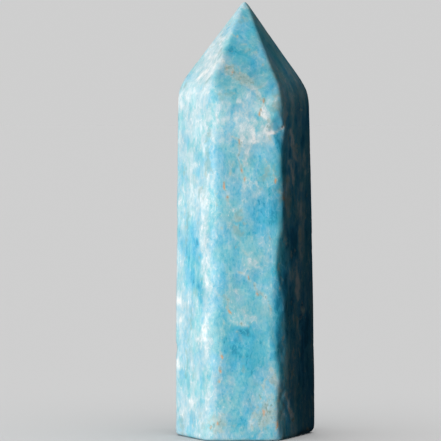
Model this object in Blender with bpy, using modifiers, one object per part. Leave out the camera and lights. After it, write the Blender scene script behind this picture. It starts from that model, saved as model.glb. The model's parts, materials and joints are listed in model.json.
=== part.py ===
"""Apatite wand: one polished six-sided stone point that stands on its flat cut base.

Units are metres, +Z is up and -Y is the front. The origin is at the middle of the base.
The stone is a block whose sides are ground away one plane at a time: six body faces that
lean inwards a little, then six point facets that run up to the tip.
"""

import math
from dataclasses import dataclass

import bmesh
import bpy
from mathutils import Vector
from mathutils.geometry import intersect_line_plane, intersect_plane_plane, normal

MM = 0.001

NAME = "apatite_wand"
TIP_HEIGHT = 88.2 * MM
SHOULDER_HEIGHT = 69.7 * MM
BODY_ROUNDING = 0.9 * MM
RIDGE_ROUNDING = 0.3 * MM
ROUNDING_SEGMENTS = 3
BLOCK_SIZE = 2.5 * TIP_HEIGHT
TIP_OFFSET = (-0.2 * MM, 0.4 * MM)

STONE_COLOUR = (0.16, 0.45, 0.60, 1.0)
STONE_ROUGHNESS = 0.30
STONE_METALLIC = 0.0

UP = Vector((0.0, 0.0, 1.0))


@dataclass(frozen=True)
class BodyFace:
    """One long face of the prism.

    Attributes:
        turn: angle in degrees from the front, counted towards the right.
        reach: distance from the middle of the base out to the face's foot.
        lean: angle in degrees that the face tips inwards as it rises.
        corner_rise: height of the shoulder corner on the face's right side, above the mean.
    """

    turn: float
    reach: float
    lean: float
    corner_rise: float

    def outward(self):
        """Return the unit vector that points out of the face."""
        turn = math.radians(self.turn)
        lean = math.radians(self.lean)
        level = math.cos(lean)
        return Vector((level * math.sin(turn), -level * math.cos(turn), math.sin(lean)))

    def foot(self):
        """Return the point of the face that is nearest to the middle of the base."""
        turn = math.radians(self.turn)
        return Vector((self.reach * math.sin(turn), -self.reach * math.cos(turn), 0.0))


BODY_FACES = (
    BodyFace(turn=3.5, reach=12.1 * MM, lean=0.7, corner_rise=-0.3 * MM),
    BodyFace(turn=62.5, reach=11.5 * MM, lean=0.3, corner_rise=-0.3 * MM),
    BodyFace(turn=120.5, reach=13.8 * MM, lean=1.7, corner_rise=0.1 * MM),
    BodyFace(turn=180.5, reach=12.3 * MM, lean=0.4, corner_rise=0.3 * MM),
    BodyFace(turn=241.5, reach=11.9 * MM, lean=0.1, corner_rise=0.6 * MM),
    BodyFace(turn=301.5, reach=13.1 * MM, lean=0.7, corner_rise=-0.2 * MM),
)


def clear_scene():
    """Remove every object that the scene starts with."""
    for obj in list(bpy.data.objects):
        bpy.data.objects.remove(obj, do_unlink=True)


def stone_material():
    """Return the polished blue stone's plain material."""
    material = bpy.data.materials.new("polished_apatite")
    material.use_nodes = True
    shader = material.node_tree.nodes["Principled BSDF"]
    shader.inputs["Base Color"].default_value = STONE_COLOUR
    shader.inputs["Roughness"].default_value = STONE_ROUGHNESS
    shader.inputs["Metallic"].default_value = STONE_METALLIC
    return material


def shoulder_corner(left_face, right_face):
    """Return the corner where two body faces meet at the height of the shoulder."""
    point, direction = intersect_plane_plane(
        left_face.foot(), left_face.outward(), right_face.foot(), right_face.outward()
    )
    level = Vector((0.0, 0.0, SHOULDER_HEIGHT + left_face.corner_rise))
    return intersect_line_plane(point, point + direction, level, UP)


def grind(stone, point, outward):
    """Take away all of the stone that lies outside a plane, and close the cut."""
    cut = bmesh.ops.bisect_plane(
        stone,
        geom=stone.verts[:] + stone.edges[:] + stone.faces[:],
        dist=0.0001 * MM,
        plane_co=point,
        plane_no=outward,
        clear_outer=True,
    )
    rim = [item for item in cut["geom_cut"] if isinstance(item, bmesh.types.BMEdge)]
    bmesh.ops.edgeloop_fill(stone, edges=rim)


def rough_block():
    """Return a cube of rough stone whose underside is the flat base."""
    stone = bmesh.new()
    bmesh.ops.create_cube(stone, size=BLOCK_SIZE)
    bmesh.ops.translate(stone, verts=stone.verts, vec=UP * BLOCK_SIZE / 2)
    return stone


def grind_body(stone):
    """Grind the six long faces of the prism."""
    for face in BODY_FACES:
        grind(stone, face.foot(), face.outward())


def grind_point(stone):
    """Grind the six facets that run from the shoulder corners up to the tip."""
    tip = Vector((*TIP_OFFSET, TIP_HEIGHT))
    neighbours = zip(BODY_FACES, BODY_FACES[1:] + BODY_FACES[:1])
    corners = [shoulder_corner(left, right) for left, right in neighbours]
    for right_corner, left_corner in zip(corners, corners[-1:] + corners[:-1]):
        grind(stone, tip, normal(left_corner, right_corner, tip))


def centre_on_base(stone):
    """Move the stone so that the middle of its outline stands on the origin."""
    for axis in range(2):
        places = [vert.co[axis] for vert in stone.verts]
        shift = Vector((0.0, 0.0, 0.0))
        shift[axis] = -(min(places) + max(places)) / 2
        bmesh.ops.translate(stone, verts=stone.verts, vec=shift)


def mark_rounding(stone):
    """Give each edge its share of the widest rounding: the ridges of the point are crisper."""
    share = stone.edges.layers.float.new("bevel_weight_edge")
    tip = max(stone.verts, key=lambda vert: vert.co.z)
    for edge in stone.edges:
        edge[share] = RIDGE_ROUNDING / BODY_ROUNDING if tip in edge.verts else 1.0


def round_edges(wand):
    """Round every edge by the width that polishing leaves."""
    bevel = wand.modifiers.new("polished_edges", "BEVEL")
    bevel.width = BODY_ROUNDING
    bevel.segments = ROUNDING_SEGMENTS
    bevel.limit_method = "WEIGHT"


def make_wand(collection):
    """Grind the wand out of a block and put it in the collection."""
    stone = rough_block()
    grind_body(stone)
    grind_point(stone)
    bmesh.ops.remove_doubles(stone, verts=stone.verts, dist=0.01 * MM)
    centre_on_base(stone)
    mark_rounding(stone)
    bmesh.ops.recalc_face_normals(stone, faces=stone.faces)
    mesh = bpy.data.meshes.new(NAME)
    stone.to_mesh(mesh)
    stone.free()
    mesh.materials.append(stone_material())
    wand = bpy.data.objects.new(NAME, mesh)
    collection.objects.link(wand)
    round_edges(wand)
    return wand


def main():
    """Build the wand in an empty scene."""
    clear_scene()
    collection = bpy.data.collections.new("apatite_wand_parts")
    bpy.context.scene.collection.children.link(collection)
    make_wand(collection)


main()
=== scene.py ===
"""Apatite wand: the looks of one hand-polished six-sided stone point on a pale studio floor.

Lengths are in metres, written as millimetres times MM. The stone stands at the origin with +Z up,
and its front looks along -Y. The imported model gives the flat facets, and everything else that
shows, such as the polished edges, the waves of hand grinding and the markings, is made here.
"""

import json
import logging
import math
import random
from dataclasses import dataclass
from enum import Enum
from typing import Union

import bpy
import numpy as np
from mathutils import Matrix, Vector, noise

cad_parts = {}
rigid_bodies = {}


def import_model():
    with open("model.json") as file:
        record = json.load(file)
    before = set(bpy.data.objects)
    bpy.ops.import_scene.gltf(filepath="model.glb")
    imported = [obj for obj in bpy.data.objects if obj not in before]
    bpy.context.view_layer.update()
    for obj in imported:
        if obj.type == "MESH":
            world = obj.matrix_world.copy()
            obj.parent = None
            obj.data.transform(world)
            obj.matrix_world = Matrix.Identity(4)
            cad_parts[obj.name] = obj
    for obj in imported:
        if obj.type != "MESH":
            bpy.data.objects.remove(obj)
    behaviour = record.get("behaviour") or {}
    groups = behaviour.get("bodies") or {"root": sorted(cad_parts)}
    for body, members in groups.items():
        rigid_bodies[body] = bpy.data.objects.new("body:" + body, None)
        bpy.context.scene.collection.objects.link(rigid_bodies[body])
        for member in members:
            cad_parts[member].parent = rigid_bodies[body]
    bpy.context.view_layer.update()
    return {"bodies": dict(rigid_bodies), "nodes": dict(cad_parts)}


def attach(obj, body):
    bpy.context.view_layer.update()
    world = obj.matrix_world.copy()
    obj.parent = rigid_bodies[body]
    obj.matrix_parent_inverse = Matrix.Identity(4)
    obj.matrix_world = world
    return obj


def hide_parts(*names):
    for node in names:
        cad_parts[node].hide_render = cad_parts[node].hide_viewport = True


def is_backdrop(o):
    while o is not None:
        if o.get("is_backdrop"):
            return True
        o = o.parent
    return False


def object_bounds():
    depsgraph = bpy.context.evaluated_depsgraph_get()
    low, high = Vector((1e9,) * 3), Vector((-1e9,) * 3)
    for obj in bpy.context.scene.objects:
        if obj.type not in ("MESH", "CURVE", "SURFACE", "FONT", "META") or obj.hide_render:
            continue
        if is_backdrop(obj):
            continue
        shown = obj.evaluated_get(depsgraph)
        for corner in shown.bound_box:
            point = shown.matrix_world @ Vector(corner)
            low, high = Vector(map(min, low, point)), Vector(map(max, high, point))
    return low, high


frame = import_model()

MM = 0.001
STONE = "apatite_wand"
WEAR = "edge_wear"
CLOUD = "cloud"
RUST = "rust"
NOISE_MIDDLE = (0.5, 0.5, 0.5)

Colour = tuple[float, float, float]
Operand = Union["Term", float, Vector, Colour]

log = logging.getLogger("apatite_wand")


# ---------------------------------------------------------------- nodes as sums


@dataclass(frozen=True)
class Term:
    """A node's output, which takes part in sums as a number or a vector does.

    Attributes:
        board: the board that the node stands on.
        socket: the node's output socket.
    """

    board: "Board"
    socket: bpy.types.NodeSocket

    def __add__(self, other: Operand) -> "Term":
        """Return this plus the other."""
        return self.board.reckon("ADD", self, other)

    def __radd__(self, other: Operand) -> "Term":
        """Return the other plus this."""
        return self.board.reckon("ADD", other, self)

    def __sub__(self, other: Operand) -> "Term":
        """Return this less the other."""
        return self.board.reckon("SUBTRACT", self, other)

    def __rsub__(self, other: Operand) -> "Term":
        """Return the other less this."""
        return self.board.reckon("SUBTRACT", other, self)

    def __mul__(self, other: Operand) -> "Term":
        """Return this times the other."""
        return self.board.reckon("MULTIPLY", self, other)

    def __rmul__(self, other: Operand) -> "Term":
        """Return the other times this."""
        return self.board.reckon("MULTIPLY", other, self)

    def __truediv__(self, other: Operand) -> "Term":
        """Return this divided by the other."""
        return self.board.reckon("DIVIDE", self, other)


class Board:
    """A node tree, and the ways in which this script adds nodes to it."""

    def __init__(self, tree: bpy.types.NodeTree) -> None:
        """Take a node tree to work on.

        Args:
            tree: a shader tree or a geometry tree.
        """
        self.tree = tree

    def add(self, kind: str, settings: dict | None = None, sockets: dict | None = None) -> bpy.types.Node:
        """Add one node.

        Args:
            kind: the node's type, such as "ShaderNodeMath".
            settings: the node's own properties, set first; "stops" holds a ramp's places and colours.
            sockets: values or terms for its inputs, by identifier, name or number.

        Returns:
            The new node.
        """
        node = self.tree.nodes.new(kind)
        for name, value in (settings or {}).items():
            if name == "stops":
                self._set_stops(node.color_ramp, value)
            else:
                setattr(node, name, value)
        for key, value in (sockets or {}).items():
            socket = self._socket(node.inputs, key)
            if isinstance(value, Term):
                self.tree.links.new(value.socket, socket)
            else:
                socket.default_value = value
        return node

    def term(
        self, kind: str, settings: dict | None = None, sockets: dict | None = None, output: str | int = 0
    ) -> Term:
        """Add one node and take one of its outputs.

        Args:
            kind: the node's type.
            settings: the node's own properties.
            sockets: values or terms for its inputs.
            output: the output's identifier, name or number.

        Returns:
            The output, ready for sums.
        """
        node = self.add(kind, settings, sockets)
        return Term(self, self._socket(node.outputs, output))

    def reckon(self, operation: str, *operands: Operand) -> Term:
        """Add the maths node for one operation on numbers or vectors.

        Args:
            operation: the operation's name in Math and Vector Math.
            operands: the numbers, vectors or terms that it works on.

        Returns:
            The result.
        """
        vectors = [self._is_vector(operand) for operand in operands]
        if not any(vectors):
            return self.term("ShaderNodeMath", {"operation": operation}, dict(enumerate(operands)))
        if operation == "MULTIPLY" and not all(vectors):
            arrow, number = sorted(operands, key=self._is_vector, reverse=True)
            settings = {"operation": "SCALE"}
            return self.term("ShaderNodeVectorMath", settings, {"Vector": arrow, "Scale": number})
        return self.term("ShaderNodeVectorMath", {"operation": operation}, dict(enumerate(operands)))

    def dot(self, first: Operand, second: Operand) -> Term:
        """Return the dot product of two vectors."""
        settings = {"operation": "DOT_PRODUCT"}
        return self.term("ShaderNodeVectorMath", settings, {0: first, 1: second}, "Value")

    def length(self, arrow: Operand) -> Term:
        """Return the length of a vector."""
        return self.term("ShaderNodeVectorMath", {"operation": "LENGTH"}, {0: arrow}, "Value")

    def split(self, arrow: Term) -> tuple[Term, Term, Term]:
        """Return a vector's three parts."""
        node = self.add("ShaderNodeSeparateXYZ", sockets={0: arrow})
        return tuple(Term(self, node.outputs[axis]) for axis in range(3))

    def join(self, *parts: Operand) -> Term:
        """Return the vector that has these three parts."""
        return self.term("ShaderNodeCombineXYZ", sockets=dict(enumerate(parts)))

    def hold(self, value: Term, low: float, high: float) -> Term:
        """Return a value, held between two levels."""
        return self.reckon("MINIMUM", self.reckon("MAXIMUM", value, low), high)

    def layer(self, name: str) -> Term:
        """Return the number that the mesh stores under a name, for a shader."""
        return self.term("ShaderNodeAttribute", {"attribute_name": name}, output="Fac")

    def step(
        self, value: Term, low: float, high: float, to_low: float = 0.0, to_high: float = 1.0
    ) -> Term:
        """Ease a value from one level to another.

        Args:
            value: what is eased.
            low: where the result leaves its first level.
            high: where it reaches its second level.
            to_low: the first level.
            to_high: the second level.

        Returns:
            The eased value, which stays between the two levels.
        """
        settings = {"interpolation_type": "SMOOTHSTEP"}
        sockets = {"Value": value, "From Min": low, "From Max": high, "To Min": to_low, "To Max": to_high}
        return self.term("ShaderNodeMapRange", settings, sockets)

    def noise(
        self, place: Operand, size: float, detail: float = 2.0, roughness: float = 0.5,
        shift: float = 0.0, output: str = "Fac",
    ) -> Term:
        """Return soft noise.

        Args:
            place: where it is read.
            size: the size of its largest lumps, in the same unit as the place.
            detail: how many finer layers it has.
            roughness: how strong the finer layers are.
            shift: a number that tells one noise from another.
            output: "Fac" for a number, or "Color" for three at once.

        Returns:
            The noise, mostly between 0.3 and 0.7.
        """
        sockets = {"Vector": place, "W": shift, "Scale": 1.0 / size}
        sockets |= {"Detail": detail, "Roughness": roughness}
        return self.term("ShaderNodeTexNoise", {"noise_dimensions": "4D"}, sockets, output)

    def blend(self, share: Operand, first: Operand, second: Operand, how: str = "MIX") -> Term:
        """Return a mix of two colours.

        Args:
            share: how much of the second colour there is.
            first: the colour at a share of 0.
            second: the colour at a share of 1.
            how: the mixing mode.

        Returns:
            The mixed colour.
        """
        settings = {"data_type": "RGBA", "blend_type": how}
        colours = [colour if isinstance(colour, Term) else (*colour, 1.0) for colour in (first, second)]
        sockets = {"Factor_Float": share, "A_Color": colours[0], "B_Color": colours[1]}
        return self.term("ShaderNodeMix", settings, sockets, "Result_Color")

    @staticmethod
    def _is_vector(operand: Operand) -> bool:
        """Tell whether an operand is a vector.

        Args:
            operand: a number, a vector, a colour or a term.

        Returns:
            Whether it has three parts.
        """
        if isinstance(operand, Term):
            return operand.socket.type in ("VECTOR", "RGBA")
        return isinstance(operand, (Vector, tuple))

    @staticmethod
    def _set_stops(ramp: bpy.types.ColorRamp, stops: list[tuple[float, Colour]]) -> None:
        """Give a colour ramp its stops.

        Args:
            ramp: the colour ramp of a new node.
            stops: the places from 0 to 1, each with its colour.
        """
        while len(ramp.elements) < len(stops):
            ramp.elements.new(1.0)
        for element, (place, colour) in zip(ramp.elements, stops):
            element.position = place
            element.color = (*colour, 1.0)

    @staticmethod
    def _socket(sockets: bpy.types.bpy_prop_collection, key: str | int) -> bpy.types.NodeSocket:
        """Find one socket of a node.

        Args:
            sockets: the node's inputs or outputs.
            key: the socket's identifier, name or number.

        Returns:
            The socket.
        """
        if isinstance(key, int):
            return sockets[key]
        for socket in sockets:
            if socket.identifier == key:
                return socket
        return sockets[key]


# ---------------------------------------------------------------- the facets


# how far up a facet's outward vector points, from -1 to 1
BASE_FACES_BELOW = -0.9
POINT_FACES_ABOVE = 0.3


class Cut(Enum):
    """The three kinds of flat facet on the stone."""

    BASE = "base"
    BODY = "body"
    POINT = "point"


@dataclass(frozen=True)
class Facet:
    """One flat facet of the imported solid.

    Attributes:
        outward: the unit vector that points out of it.
        reach: its distance from the origin along that vector.
    """

    outward: Vector
    reach: float

    @property
    def cut(self) -> Cut:
        """Which kind of facet it is.

        Returns:
            The kind, from the way that the facet faces.
        """
        if self.outward.z < BASE_FACES_BELOW:
            return Cut.BASE
        return Cut.POINT if self.outward.z >= POINT_FACES_ABOVE else Cut.BODY

    @property
    def turn(self) -> float:
        """Its angle in degrees from the front, counted towards the right."""
        return math.degrees(math.atan2(self.outward.x, -self.outward.y)) % 360.0

    @property
    def name(self) -> str:
        """The name of its inputs in the shape tree."""
        return f"{self.cut.value} facet at {self.turn:.0f} degrees"


@dataclass(frozen=True)
class Facets:
    """Every flat facet of one solid.

    Attributes:
        all: the facets, in the order of their turn.
    """

    all: tuple[Facet, ...]

    @classmethod
    def of(cls, node: bpy.types.Object, least_area: float = 60.0 * MM * MM) -> "Facets":
        """Read the facets from a solid's mesh.

        Args:
            node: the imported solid's object.
            least_area: a smaller flat stretch is part of a rounded edge.

        Returns:
            The solid's facets.
        """
        areas: dict[tuple[float, ...], float] = {}
        found: dict[tuple[float, ...], Facet] = {}
        for face in node.data.polygons:
            key = tuple(round(part, 2) for part in face.normal)
            areas[key] = areas.get(key, 0.0) + face.area
            found[key] = Facet(face.normal.copy(), face.normal.dot(face.center))
        facets = [facet for key, facet in found.items() if areas[key] >= least_area]
        return cls(tuple(sorted(facets, key=lambda facet: facet.turn)))

    def of_cut(self, cut: Cut) -> tuple[Facet, ...]:
        """Return the facets of one kind."""
        return tuple(facet for facet in self.all if facet.cut is cut)

    @property
    def tip(self) -> Vector:
        """The tip of the sharp solid.

        Returns:
            The place that all the point facets run through.
        """
        facets = self.of_cut(Cut.POINT)
        outwards = np.array([facet.outward[:] for facet in facets])
        reaches = np.array([facet.reach for facet in facets])
        return Vector(np.linalg.lstsq(outwards, reaches, rcond=None)[0])

    def edge(self, turn: float, height: float) -> Vector:
        """Find the place on the body's long edge that a turn points to.

        Args:
            turn: the angle in degrees from the front, between the turns of two body facets.
            height: the height of the place.

        Returns:
            The place where the two facets meet at that height.
        """
        body = self.of_cut(Cut.BODY)
        after = next((facet for facet in body if facet.turn > turn), body[0])
        before = body[body.index(after) - 1]
        rows = [(*facet.outward[:2],) for facet in (before, after)]
        sums = [facet.reach - facet.outward.z * height for facet in (before, after)]
        across = np.linalg.solve(np.array(rows), np.array(sums))
        return Vector((across[0], across[1], height))


# ---------------------------------------------------------------- the shape


def level_toward(turn: float) -> Vector:
    """Return the level unit vector that points to a turn, in degrees from the front."""
    angle = math.radians(turn)
    return Vector((math.sin(angle), -math.cos(angle), 0.0))


@dataclass(frozen=True)
class Nick:
    """One bite out of a long edge: a small hollow or, with a large radius, a long worn flat.

    Attributes:
        turn: the way that the bitten hollow faces, in degrees from the front.
        height: the height of its middle.
        depth: how deep it goes below the sharp edge.
        radius: the radius of the ball that fits the hollow.
        tall: the ball's height as a share of its width.
    """

    turn: float
    height: float
    depth: float
    radius: float
    tall: float

    def inside(self, board: Board, facets: Facets, place: Term) -> Term:
        """Say how far a place lies inside the ball that bites the edge.

        Args:
            board: the tree's board.
            facets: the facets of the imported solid.
            place: the place.

        Returns:
            The distance, which is negative outside the ball.
        """
        depth = self.radius - self.depth
        middle = facets.edge(self.turn, self.height) + level_toward(self.turn) * depth
        sides = Vector((self.radius, self.radius, self.radius * self.tall))
        reach = board.length((place - middle) / sides)
        return (1.0 - reach) * self.radius * self.tall


class Side(Enum):
    """On which side of its ledge a flake broke away."""

    ABOVE = 1.0
    BELOW = -1.0


@dataclass(frozen=True)
class Flake:
    """The scar of one flake that broke off a long edge: flat, and ending at a steep ledge.

    Attributes:
        turn: the way that the scar faces, in degrees from the front.
        rise: how far it faces upwards, in degrees.
        height: the height at which the ledge meets the edge.
        depth: how deep the scar goes there, below the sharp edge.
        slant: how far the ledge rises towards the right, in degrees.
        side: the side of the ledge on which the scar lies.
    """

    turn: float
    rise: float
    height: float
    depth: float
    slant: float
    side: Side

    def inside(self, board: Board, facets: Facets, place: Term) -> Term:
        """Say how far a place lies inside the broken flake.

        Args:
            board: the tree's board.
            facets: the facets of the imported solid.
            place: the place.

        Returns:
            The distance, which is negative outside the flake.
        """
        rise, slant = (math.radians(angle) for angle in (self.rise, self.slant))
        level = level_toward(self.turn)
        along = Vector((-level.y, level.x, 0.0))
        up = Vector((0.0, 0.0, 1.0))
        scar = level * math.cos(rise) + up * math.sin(rise)
        ledge = (up * math.cos(slant) - along * math.sin(slant)) * self.side.value
        from_corner = place - (facets.edge(self.turn, self.height) - level * self.depth)
        return board.reckon("MINIMUM", board.dot(from_corner, scar), board.dot(from_corner, ledge))


@dataclass(frozen=True)
class Hull:
    """How far a place lies outside a group of facets.

    Attributes:
        sharp: outside the flat facets.
        waved: outside the hand-ground facets, where their edges are still sharp.
        rounded: outside the hand-ground facets with their edges worn round.
    """

    sharp: Term
    waved: Term
    rounded: Term


@dataclass
class StoneShape:
    """The stone's skin: a fine closed mesh that follows the facets, as grinding and polishing left it.

    Attributes:
        columns: points round the stone.
        rings: points from the tip to the middle of the base.
        cutting_passes: how many times the points slide towards the sharp facets.
        polishing_passes: how many times they then slide towards the worn surface.
        wave_height: how far the hand-ground faces stray from flat.
        wave_length: the width of one such wave.
        ripple_height: how far the finer ripples stray.
        ripple_length: the width of one ripple.
        belly: how far the long faces swell at mid height.
        soft_edge: how far from the most worn long edge its rounding starts.
        soft_edge_turn: where that edge is, in degrees from the front.
        crisp_edge: how far from the other long edges their rounding starts.
        bent_edge: the same where the edge with the broken hollow is worn back.
        bent_edge_turn: where that edge is, in degrees from the front.
        bend_length: the length of one worn stretch.
        soft_ridge: how far from the ridges of the point their rounding starts.
        soft_shoulder: the same between the body and the point.
        soft_rim: the same round the base.
        worn_rim: how much wider that is at the base's most worn corner.
        worn_rim_turn: where that corner is, in degrees from the front.
        chip_depth: how deep the scattered dents on the edges go.
        chip_length: the size of one dent.
        edge_zone: how far out from the axis an edge's wear starts, and where it is full.
        break_roughness: how far the hollows and scars stray from their plain shapes.
        break_length: the size of one such bend.
        nick_lip: how far from a nick its rounded lip starts.
        nicks: the small hollows and the long flats on the edges.
        flakes: the flakes that broke away.
        shoulder_height: the height where the point starts.
        guide_radius: the radius of the rough guide shape.
        guide_slope: the length of its sloping top, which sets the share of points that the tip gets.
        heart_zone: the lowest and the highest place on the axis from which a ray starts.
    """

    columns: int = 290
    rings: int = 336
    cutting_passes: int = 30
    polishing_passes: int = 9
    wave_height: float = 0.16 * MM
    wave_length: float = 15.0 * MM
    ripple_height: float = 0.035 * MM
    ripple_length: float = 3.6 * MM
    belly: float = 0.10 * MM
    soft_edge: float = 4.0 * MM
    soft_edge_turn: float = 332.0
    crisp_edge: float = 1.5 * MM
    bent_edge: float = 3.8 * MM
    bent_edge_turn: float = 33.0
    bend_length: float = 7.0 * MM
    soft_ridge: float = 0.8 * MM
    soft_shoulder: float = 2.4 * MM
    soft_rim: float = 1.5 * MM
    worn_rim: float = 1.2 * MM
    worn_rim_turn: float = 91.0
    chip_depth: float = 0.09 * MM
    chip_length: float = 2.4 * MM
    edge_zone: tuple[float, float] = (9.0 * MM, 12.0 * MM)
    break_roughness: float = 0.5 * MM
    break_length: float = 2.2 * MM
    nick_lip: float = 0.6 * MM
    nicks: tuple[Nick, ...] = (
        Nick(turn=53.0, height=35.0 * MM, depth=0.50 * MM, radius=45.0 * MM, tall=1.0),
        Nick(turn=53.0, height=19.0 * MM, depth=0.50 * MM, radius=45.0 * MM, tall=1.0),
        Nick(turn=54.0, height=6.0 * MM, depth=0.54 * MM, radius=60.0 * MM, tall=1.0),
        Nick(turn=150.0, height=33.0 * MM, depth=0.45 * MM, radius=7.0 * MM, tall=0.6),
        Nick(turn=212.0, height=52.0 * MM, depth=0.40 * MM, radius=6.0 * MM, tall=0.7),
        Nick(turn=268.0, height=17.5 * MM, depth=0.35 * MM, radius=6.0 * MM, tall=0.6),
    )
    flakes: tuple[Flake, ...] = (
        Flake(turn=25.0, rise=-10.0, height=62.0 * MM, depth=0.88 * MM, slant=22.0, side=Side.ABOVE),
        Flake(turn=31.0, rise=11.0, height=62.0 * MM, depth=0.97 * MM, slant=22.0, side=Side.BELOW),
    )
    shoulder_height: float = 70.0 * MM
    guide_radius: float = 13.0 * MM
    guide_slope: float = 22.5 * MM
    heart_zone: tuple[float, float] = (9.0 * MM, 62.0 * MM)

    def build(self, facets: Facets, material: bpy.types.Material) -> bpy.types.Object:
        """Grow the skin from the facets.

        Args:
            facets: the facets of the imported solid.
            material: the finish that the tree sets on the skin.

        Returns:
            The skin as a plain mesh object at the origin.
        """
        seed = bpy.data.objects.new("skin_seed", bpy.data.meshes.new("skin_seed"))
        bpy.context.scene.collection.objects.link(seed)
        grinding = seed.modifiers.new("grinding", "NODES")
        grinding.node_group = self._tree(facets)
        values = {"Material": material, "Tip": facets.tip, **self._sizes()}
        for facet in facets.all:
            values[f"{facet.name}, outward"] = facet.outward
            values[f"{facet.name}, reach"] = facet.reach
        for item in grinding.node_group.interface.items_tree:
            if item.in_out == "INPUT" and item.name in values:
                grinding[item.identifier] = values[item.name]
        evaluated = seed.evaluated_get(bpy.context.evaluated_depsgraph_get())
        mesh = bpy.data.meshes.new_from_object(evaluated)
        bpy.data.objects.remove(seed)
        mesh.name = f"{STONE}_skin"
        skin = bpy.data.objects.new(f"{STONE}_skin", mesh)
        bpy.context.scene.collection.objects.link(skin)
        return skin

    def _sizes(self) -> dict[str, float]:
        """Name the sizes that the tree takes.

        Returns:
            The value of each, by the name of its input.
        """
        return {
            "Wave height": self.wave_height,
            "Ripple height": self.ripple_height,
            "Belly": self.belly,
            "Soft edge": self.soft_edge,
            "Crisp edge": self.crisp_edge,
            "Bent edge": self.bent_edge,
            "Soft ridge": self.soft_ridge,
            "Soft shoulder": self.soft_shoulder,
            "Soft rim": self.soft_rim,
            "Worn rim": self.worn_rim,
            "Chip depth": self.chip_depth,
            "Columns": self.columns,
            "Rings": self.rings,
            "Cutting passes": self.cutting_passes,
            "Polishing passes": self.polishing_passes,
        }

    def _tree(self, facets: Facets) -> bpy.types.GeometryNodeTree:
        """Build the tree that grows the skin.

        Args:
            facets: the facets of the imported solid.

        Returns:
            The geometry tree, with a named input for each size and each facet.
        """
        tree = bpy.data.node_groups.new("grind_and_polish", "GeometryNodeTree")
        tree.is_modifier = True
        board = Board(tree)
        tree.interface.new_socket("Geometry", in_out="OUTPUT", socket_type="NodeSocketGeometry")
        kinds = {"Material": "NodeSocketMaterial", "Tip": "NodeSocketVector"}
        for name, value in self._sizes().items():
            kinds[name] = "NodeSocketInt" if isinstance(value, int) else "NodeSocketFloat"
        for facet in facets.all:
            kinds[f"{facet.name}, outward"] = "NodeSocketVector"
            kinds[f"{facet.name}, reach"] = "NodeSocketFloat"
        for name, kind in kinds.items():
            tree.interface.new_socket(name, in_out="INPUT", socket_type=kind)
        entry = board.add("NodeGroupInput")
        given = {socket.name: Term(board, socket) for socket in entry.outputs if socket.name}
        ball = self._ball(board, given)
        place = board.term("GeometryNodeInputPosition")
        outside, sharp, wear = self._outside(board, given, facets, place)
        skin = self._settle(board, ball, sharp, given["Cutting passes"])
        skin = self._settle(board, skin, outside, given["Polishing passes"])
        skin = self._store(board, skin, WEAR, wear, "FLOAT")
        skin = board.term("GeometryNodeSetShadeSmooth", sockets={"Geometry": skin})
        skin = board.term("GeometryNodeRealizeInstances", sockets={"Geometry": skin})
        dressing = {"Geometry": skin, "Material": given["Material"]}
        skin = board.term("GeometryNodeSetMaterial", sockets=dressing)
        board.add("NodeGroupOutput", sockets={0: skin})
        return tree

    @staticmethod
    def _store(board: Board, geometry: Term, name: str, value: Term, kind: str) -> Term:
        """Store a value on the points of a mesh.

        Args:
            board: the tree's board.
            geometry: the mesh.
            name: the attribute's name.
            value: what is stored.
            kind: the attribute's data type.

        Returns:
            The mesh with the attribute.
        """
        settings = {"data_type": kind, "domain": "POINT"}
        sockets = {"Geometry": geometry, "Name": name, "Value": value}
        return board.term("GeometryNodeStoreNamedAttribute", settings, sockets)

    @staticmethod
    def _stored(board: Board, name: str) -> Term:
        """Return the vector that is stored on the points under a name."""
        settings = {"data_type": "FLOAT_VECTOR"}
        return board.term("GeometryNodeInputNamedAttribute", settings, {"Name": name}, "Attribute")

    def _ball(self, board: Board, given: dict[str, Term]) -> Term:
        """Make a closed ball of points, set on a rough guide shape with a ray from the axis in each.

        Args:
            board: the tree's board.
            given: the tree's inputs.

        Returns:
            The guide mesh, which carries the rays.
        """
        sockets = {"Segments": given["Columns"], "Rings": given["Rings"], "Radius": 1.0}
        ball = board.term("GeometryNodeMeshUVSphere", sockets=sockets)
        x, y, z = board.split(board.term("GeometryNodeInputPosition"))
        turn = board.reckon("ARCTAN2", y, x)
        travel = board.reckon("ARCCOSINE", board.hold(z, -1.0, 1.0)) / math.pi
        total = self.guide_slope + self.shoulder_height + self.guide_radius
        path = travel * total
        tip_share = board.reckon("MINIMUM", path / self.guide_slope, 1.0)
        base_share = board.reckon("MINIMUM", (total - path) / self.guide_radius, 1.0)
        fall = board.hold(path - self.guide_slope, 0.0, self.shoulder_height)
        radius = board.reckon("MINIMUM", tip_share, base_share) * self.guide_radius
        top = board.split(given["Tip"])[2]
        height = top - tip_share * (top - self.shoulder_height) - fall
        lean = height / top
        axis = given["Tip"] * board.join(1.0, 1.0, 0.0) * lean
        spoke = board.join(board.reckon("COSINE", turn), board.reckon("SINE", turn), 0.0) * radius
        guide = axis + spoke + board.join(0.0, 0.0, height)
        heart = axis + board.join(0.0, 0.0, board.hold(height, *self.heart_zone))
        ray = board.term("ShaderNodeVectorMath", {"operation": "NORMALIZE"}, {0: guide - heart})
        ball = self._store(board, ball, "ray", ray, "FLOAT_VECTOR")
        ball = self._store(board, ball, "guide", guide, "FLOAT_VECTOR")
        sockets = {"Geometry": ball, "Position": self._stored(board, "guide")}
        return board.term("GeometryNodeSetPosition", sockets=sockets)

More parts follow.
